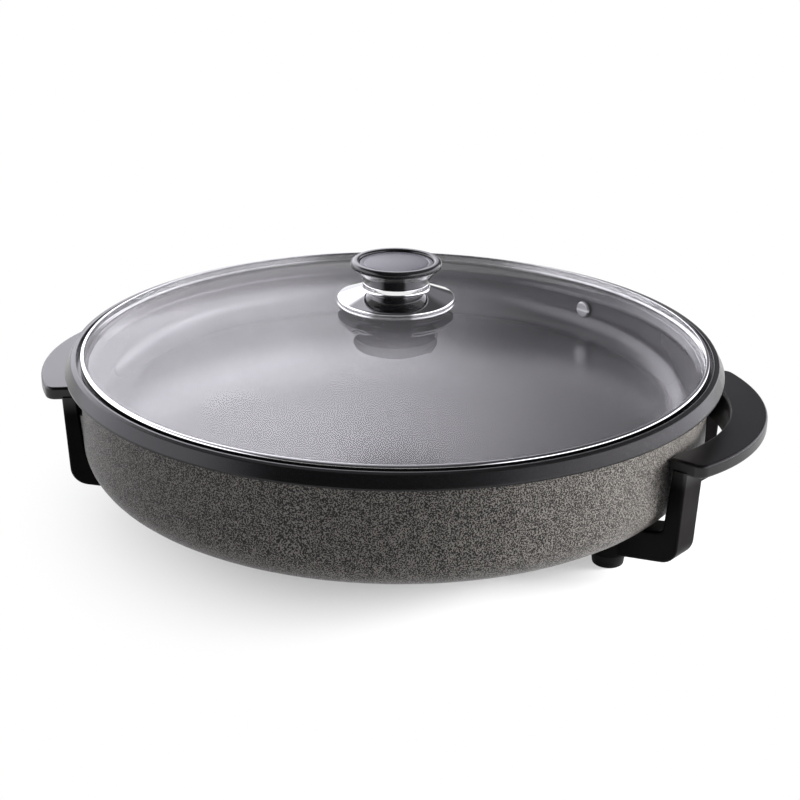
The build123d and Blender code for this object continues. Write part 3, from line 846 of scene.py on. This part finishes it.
def settle(piece: bpy.types.Object, body: Body, slot: Slot, finish: Finish, *nodes: str) -> None:
    """Put a new piece on its body in place of its nodes.

    Args:
        piece: New piece.
        body: Body that it rides on.
        slot: Record slot of the piece; not used.
        finish: Finish that it shows.
        nodes: CAD nodes that it stands for.
    """
    dress(piece, finish)
    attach(piece, body.value)
    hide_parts(*nodes)
    LOG.info("%s: %d faces on %s", piece.name, len(piece.data.polygons), body.value)


def dress_nodes(finish: Finish, *nodes: str) -> None:
    """Give carried-over CAD nodes a finish.

    Args:
        finish: Finish that they show.
        nodes: Names of the nodes.
    """
    for node in nodes:
        dress(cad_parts[node], finish)
        LOG.info("%s: %s", node, finish.name)


BRIGHT_ZINC = TurnedMetal("bright zinc", (0.7, 0.7, 0.71, 1.0), (0.62, 0.62, 0.63, 1.0), 0.22)


@dataclass
class PanAssembly:
    """Cooking pan in its shell, with the handles, feet, heater and inlet."""

    coat: Finish = CookingCoat()
    paint: Finish = HammerPaint()
    handle: Finish = MouldedPlastic("handle plastic")
    foot: Finish = MouldedPlastic("foot plastic", grey(0.006), grey(0.009), 0.55)
    sheath: Finish = GrainedSolid("heater sheath", grey(0.2), (0.16, 0.13, 0.11, 1.0), 0.45, 0.9)
    ceramic: Finish = GrainedSolid("ceramic", (0.78, 0.75, 0.68, 1.0), (0.7, 0.66, 0.58, 1.0), 0.7)
    steel: Finish = TurnedMetal("plain steel", grey(0.52), grey(0.45), 0.32)

    def build(self) -> None:
        """Dress the cooking pan, the shell and all that is fixed to them."""
        dress_nodes(self.coat, "pan_body")
        dress_nodes(self.paint, "base_shell")
        dress_nodes(self.handle, "handle_right", "handle_left")
        dress_nodes(self.foot, "foot_right_front", "foot_right_rear", "foot_left_front", "foot_left_rear")
        dress_nodes(self.sheath, "heating_element")
        dress_nodes(self.ceramic, "terminal_insulators")
        dress_nodes(self.steel, "terminal_pins", "probe_sleeve", "inlet_guard")
        dress_nodes(BRIGHT_ZINC, "wall_screw", "wall_washer", "wall_nut", "foot_screws")


@dataclass
class LidAssembly:
    """Glass dome and its steel band, in millimetres."""

    glass_radius: float = 200.9
    hole_radius: float = 5.0
    dome_radius: float = 750.0
    dome_top: float = 136.907
    dome_rings: int = 40
    glass_thickness: float = 4.0
    band_radius: float = 201.9
    band_bottom: float = 104.4
    band_sheet: float = 0.7
    band_clearance: float = 0.25
    band_steps: int = 256
    outer_fold: float = 1.2
    inner_fold: float = 0.5
    lower_lip_round: float = 0.2
    upper_lip_round: float = 0.3
    flange_radius: float = 199.6
    glass: Finish = ClearGlass()
    steel: Finish = TurnedMetal("band steel", grey(0.86), grey(0.8), 0.1, 0.4, 0.002, 60.0)

    def dome_height(self, radius: float) -> float:
        """Height of the dome's outer face at a radius."""
        return self.dome_top - self.dome_radius + math.sqrt(self.dome_radius**2 - radius**2)

    def build(self) -> None:
        """Model the glass and its band."""
        self.build_glass()
        self.build_band()

    def build_glass(self) -> None:
        """Arc spun into a dome and given its thickness."""
        reach = self.glass_radius - self.hole_radius
        radii = [self.hole_radius + reach * number / self.dome_rings for number in range(self.dome_rings + 1)]
        corners = [Corner(radius, self.dome_height(radius)) for radius in radii]
        glass = Lathe("lid_dome", corners, closed=False).turn()
        wall = glass.modifiers.new("wall", "SOLIDIFY")
        wall.thickness = self.glass_thickness * MM
        wall.offset = INWARD
        bpy.ops.object.modifier_apply(modifier=wall.name)
        bpy.ops.object.shade_smooth_by_angle(angle=SMOOTH_ANGLE)
        settle(glass, Body.LID, Slot.LID_GLASS, self.glass, "lid_glass")

    def build_band(self) -> None:
        """Rolled section with rounded folds."""
        inner = self.band_radius - self.band_sheet
        edge = self.dome_height(self.glass_radius) + self.band_clearance
        top = self.dome_height(self.flange_radius) + self.band_clearance
        corners = [
            Corner(self.flange_radius, self.band_bottom, self.lower_lip_round),
            Corner(self.band_radius, self.band_bottom, self.outer_fold),
            Corner(self.band_radius, edge + self.band_sheet, self.outer_fold),
            Corner(self.flange_radius, top + self.band_sheet, self.upper_lip_round),
            Corner(self.flange_radius, top),
            Corner(inner, edge, self.inner_fold),
            Corner(inner, self.band_bottom + self.band_sheet, self.inner_fold),
            Corner(self.flange_radius, self.band_bottom + self.band_sheet),
        ]
        band = Lathe("lid_trim", corners, self.band_steps).turn()
        settle(band, Body.LID, Slot.BAND_STEEL, self.steel, "lid_band")


@dataclass
class KnobAssembly:
    """Dish, knob and cap in millimetres, with the hidden fasteners below them."""

    dish_radius: float = 37.8
    dish_bottom: float = 136.12
    dish_sheet: float = 1.2
    dish_rise: float = 6.0
    dish_foot_round: float = 1.6
    bead_height: float = 4.6
    bead_inset: float = 1.0
    bead_shoulder_round: float = 1.4
    bead_inner_round: float = 0.8
    groove_low: float = 1.3
    groove_middle: float = 1.65
    groove_high: float = 2.0
    groove_depth: float = 0.6
    groove_round: float = 0.45
    small_round: float = 0.3
    collar_height: float = 4.0
    collar_bore: float = 20.25
    collar_lip_round: float = 0.5
    clearance: float = 0.15
    stem_radius: float = 7.5
    stem_bottom: float = 138.01
    bore_radius: float = 4.05
    bore_depth: float = 14.05
    neck_radius: float = 20.1
    neck_flare: float = 1.5
    neck_round: float = 2.5
    knob_radius: float = 29.2
    knob_top: float = 164.765
    rim_height: float = 4.8
    rim_round: float = 2.3
    rim_root_round: float = 0.4
    under_drop: float = 3.8
    cap_radius: float = 23.6
    cap_recess: float = 1.5
    cap_thickness: float = 1.2
    cap_clearance: float = 0.2
    cap_edge_round: float = 0.4
    cap_steps: int = 128
    ring_half_width: float = 0.35
    ring_depth: float = 0.25
    ring_round: float = 0.1
    chrome: Finish = TurnedMetal("knob chrome", grey(0.88), grey(0.84), 0.035, 0.6, 0.0004, 20.0)
    plastic: Finish = PolishedPlastic("knob plastic")
    satin: CapFinish = CapFinish()
    silicone: Finish = GrainedSolid("silicone", grey(0.55), grey(0.5), 0.6)
    brass: Finish = TurnedMetal("insert brass", (0.7, 0.52, 0.22, 1.0), (0.6, 0.44, 0.18, 1.0), 0.25)

    def build(self) -> None:
        """Model the dish, the knob and the cap and dress the rest."""
        self.build_dish()
        self.build_knob()
        self.build_cap()
        dress_nodes(self.silicone, "knob_gasket", "washer_gasket")
        dress_nodes(BRIGHT_ZINC, "knob_washer", "knob_screw")
        dress_nodes(self.brass, "knob_insert")

    def build_dish(self) -> None:
        """Spun dish with a beaded edge and a collar."""
        out = self.dish_radius
        low = self.dish_bottom
        bead_top = low + self.bead_height
        foot = bead_top + self.dish_rise
        bore = self.collar_bore
        sheet = self.dish_sheet
        stem_hole = self.stem_radius + self.clearance
        skirt = out - self.bead_inset - sheet
        corners = [
            Corner(out - sheet, low, self.small_round),
            Corner(out, low, self.groove_round),
            Corner(out, low + self.groove_low, self.groove_round),
            Corner(out - self.groove_depth, low + self.groove_middle, self.small_round),
            Corner(out, low + self.groove_high, self.groove_round),
            Corner(out, bead_top, self.bead_shoulder_round),
            Corner(bore + sheet, foot, self.dish_foot_round),
            Corner(bore + sheet, foot + self.collar_height, self.collar_lip_round),
            Corner(bore, foot + self.collar_height, self.small_round),
            Corner(bore, foot),
            Corner(stem_hole, foot),
            Corner(stem_hole, foot - sheet),
            Corner(bore, foot - sheet),
            Corner(skirt, bead_top - sheet, self.bead_inner_round),
            Corner(skirt, low + sheet, self.small_round),
            Corner(out - sheet, low + sheet),
        ]
        dish = Lathe("knob_dish", corners).turn()
        settle(dish, Body.LID, Slot.KNOB_CHROME, self.chrome, "knob_base")

    def build_knob(self) -> None:
        """Turned knob with a waisted neck and a rounded rim."""
        dish_top = self.dish_bottom + self.bead_height + self.dish_rise
        foot = dish_top + self.clearance
        neck_foot = dish_top + self.collar_height + self.clearance
        collar_outer = self.collar_bore + self.dish_sheet
        rim_bottom = self.knob_top - self.rim_height
        cap_bottom = self.knob_top - self.cap_recess - self.cap_thickness
        well = self.cap_radius + self.cap_clearance
        bore_top = self.stem_bottom + self.bore_depth
        corners = [
            Corner(self.bore_radius, self.stem_bottom),
            Corner(self.stem_radius, self.stem_bottom),
            Corner(self.stem_radius, foot),
            Corner(self.neck_radius, foot),
            Corner(self.neck_radius, neck_foot),
            Corner(collar_outer, neck_foot, self.small_round),
            Corner(collar_outer + self.neck_flare, rim_bottom - self.under_drop, self.neck_round),
            Corner(self.knob_radius - self.rim_height / 2.0, rim_bottom, self.rim_root_round),
            Corner(self.knob_radius, rim_bottom, self.rim_round),
            Corner(self.knob_radius, self.knob_top, self.rim_round),
            Corner(well, self.knob_top, self.cap_recess),
            Corner(well, cap_bottom),
            Corner(0.0, cap_bottom),
            Corner(0.0, bore_top),
            Corner(self.bore_radius, bore_top),
        ]
        knob = Lathe("knob_grip", corners).turn()
        settle(knob, Body.LID, Slot.KNOB_PLASTIC, self.plastic, "lid_knob")

    def build_cap(self) -> None:
        """Disc with a soft edge and a fine ring groove."""
        low = self.knob_top - self.cap_recess - self.cap_thickness
        high = low + self.cap_thickness
        groove = self.satin.ring_radius
        corners = [
            Corner(0.0, low),
            Corner(self.cap_radius, low),
            Corner(self.cap_radius, high, self.cap_edge_round),
            Corner(groove + self.ring_half_width, high, self.ring_round),
            Corner(groove, high - self.ring_depth, self.ring_round),
            Corner(groove - self.ring_half_width, high, self.ring_round),
            Corner(0.0, high),
        ]
        cap = Lathe("knob_disc", corners, self.cap_steps, closed=False).turn()
        settle(cap, Body.LID, Slot.CAP_PLASTIC, self.satin, "knob_cap")


@dataclass(frozen=True)
class Softbox:
    """Square area light, placed as seen from the camera, in metres and watts."""

    name: str
    place: Triple
    aim: Triple
    size: float
    power: float

    def build(self, turn: Matrix) -> None:
        """Hang the light.

        Args:
            turn: Turn from the camera's directions to the pan's.
        """
        data = bpy.data.lights.new(self.name, "AREA")
        data.size = self.size
        data.energy = self.power
        light = bpy.data.objects.new(self.name, data)
        bpy.context.scene.collection.objects.link(light)
        start, end = turn @ Vector(self.place), turn @ Vector(self.aim)
        light.location = start
        light.rotation_mode = "QUATERNION"
        light.rotation_quaternion = (end - start).to_track_quat("-Z", "Y")
        light.visible_glossy = False


@dataclass
class Studio:
    """Floor, lights, surroundings and camera, in metres and degrees."""

    distance: float = 1.043
    lip_height: float = 0.109
    azimuth: float = 15.7
    elevation: float = 19.68
    pitch: float = 21.75
    yaw: float = 0.203
    roll: float = 0.732
    lens: float = 72.0
    floor_size: float = 14.0
    surround: Rgba = (0.975, 0.96, 1.04, 1.0)
    dark_level: float = 0.05
    # Each step of the surroundings: where it starts and ends, and its level before and after
    rear_across: Step = (0.2, -0.15, 0.13, 3.2)
    rear_foot: Step = (0.1, 0.2, 0.3, 1.0)
    rear_top: Step = (0.66, 0.48, 0.12, 1.0)
    rear_behind: Step = (0.05, 0.45, 0.0, 1.0)
    right_across: Step = (0.42, 0.66, 0.0, 2.6)
    right_top: Step = (0.55, 0.4, 0.0, 1.0)
    left_across: Step = (-0.6, -0.9, 0.0, 2.6)
    key: Softbox = Softbox("key", (1.5, 0.0, 0.28), (0.0, 0.0, 0.08), 0.7, 175.0)
    top: Softbox = Softbox("top softbox", (0.0, 0.35, 1.7), (0.0, 0.0, 0.0), 1.4, 3.0)

    def build(self) -> None:
        """Set the stage."""
        self.build_floor()
        self.build_world()
        for light in (self.key, self.top):
            light.build(self.turn())
        self.build_camera()
        bpy.context.scene.view_settings.view_transform = "Standard"

    def turn(self) -> Matrix:
        """Turn from the camera's directions to the pan's."""
        return Matrix.Rotation(math.radians(self.azimuth), 3, "Z")

    def build_floor(self) -> None:
        """White floor."""
        bpy.ops.object.select_all(action="DESELECT")
        bpy.ops.mesh.primitive_plane_add(size=self.floor_size, location=(0, 0, 0))
        floor = bpy.context.object
        floor.name = "floor"
        dress(floor, FloorWhite())

    def build_world(self) -> None:
        """Panels at both sides, bright behind on the left and dark in front, and plain white to the eye."""
        world = bpy.data.worlds.new("studio")
        bpy.context.scene.world = world
        world.use_nodes = True
        world.node_tree.nodes.clear()
        bench = NodeBench(world.node_tree)
        ray = bench.put("ShaderNodeTexCoord").outputs["Generated"]
        across, behind, above = (
            bench.along(ray, self.turn() @ Vector(axis)) for axis in ((1, 0, 0), (0, 1, 0), (0, 0, 1))
        )
        rear = bench.ramp(across, *self.rear_across)
        rear = bench.math("MULTIPLY", rear, bench.ramp(above, *self.rear_foot))
        rear = bench.math("MULTIPLY", rear, bench.ramp(above, *self.rear_top))
        rear = bench.math("MULTIPLY", rear, bench.ramp(behind, *self.rear_behind))
        right = bench.ramp(across, *self.right_across)
        right = bench.math("MULTIPLY", right, bench.ramp(above, *self.right_top))
        left = bench.ramp(across, *self.left_across)
        sides = bench.math("MAXIMUM", bench.math("MAXIMUM", left, right), rear)
        rays = bench.put("ShaderNodeLightPath").outputs
        seen = bench.math("MAXIMUM", rays["Is Camera Ray"], rays["Is Transmission Ray"])
        colour = bench.blend(seen, self.surround, grey(1.0))
        strength = bench.level(seen, bench.math("ADD", sides, self.dark_level), 1.0)
        glow = bench.put("ShaderNodeBackground", {"Color": colour, "Strength": strength}).outputs[0]
        bench.put("ShaderNodeOutputWorld", {"Surface": glow})

    def build_camera(self) -> None:
        """Camera at the fitted place, pitch, yaw and roll."""
        height, pitch = math.radians(self.elevation), math.radians(self.pitch)
        yaw, roll = math.radians(self.yaw), math.radians(self.roll)
        rise = self.distance * math.sin(height) + self.lip_height
        eye = Vector((0.0, -self.distance * math.cos(height), rise))
        ahead = Vector((math.sin(yaw) * math.cos(pitch), math.cos(yaw) * math.cos(pitch), -math.sin(pitch)))
        level = ahead.cross(Vector((0.0, 0.0, 1.0))).normalized()
        upright = level.cross(ahead)
        across = level * math.cos(roll) + upright * math.sin(roll)
        above = upright * math.cos(roll) - level * math.sin(roll)
        aim = self.turn() @ Matrix((across, above, -ahead)).transposed()
        data = bpy.data.cameras.new("camera")
        data.lens = self.lens
        camera = bpy.data.objects.new("camera", data)
        bpy.context.scene.collection.objects.link(camera)
        camera.matrix_world = Matrix.Translation(self.turn() @ eye) @ aim.to_4x4()
        bpy.context.scene.camera = camera


def main() -> None:
    """Build the pan, the lid, the knob and the studio in order."""
    logging.basicConfig(level=logging.INFO, format="%(message)s")
    PanAssembly().build()
    LidAssembly().build()
    KnobAssembly().build()
    Studio().build()


if __name__ == "__main__":
    main()
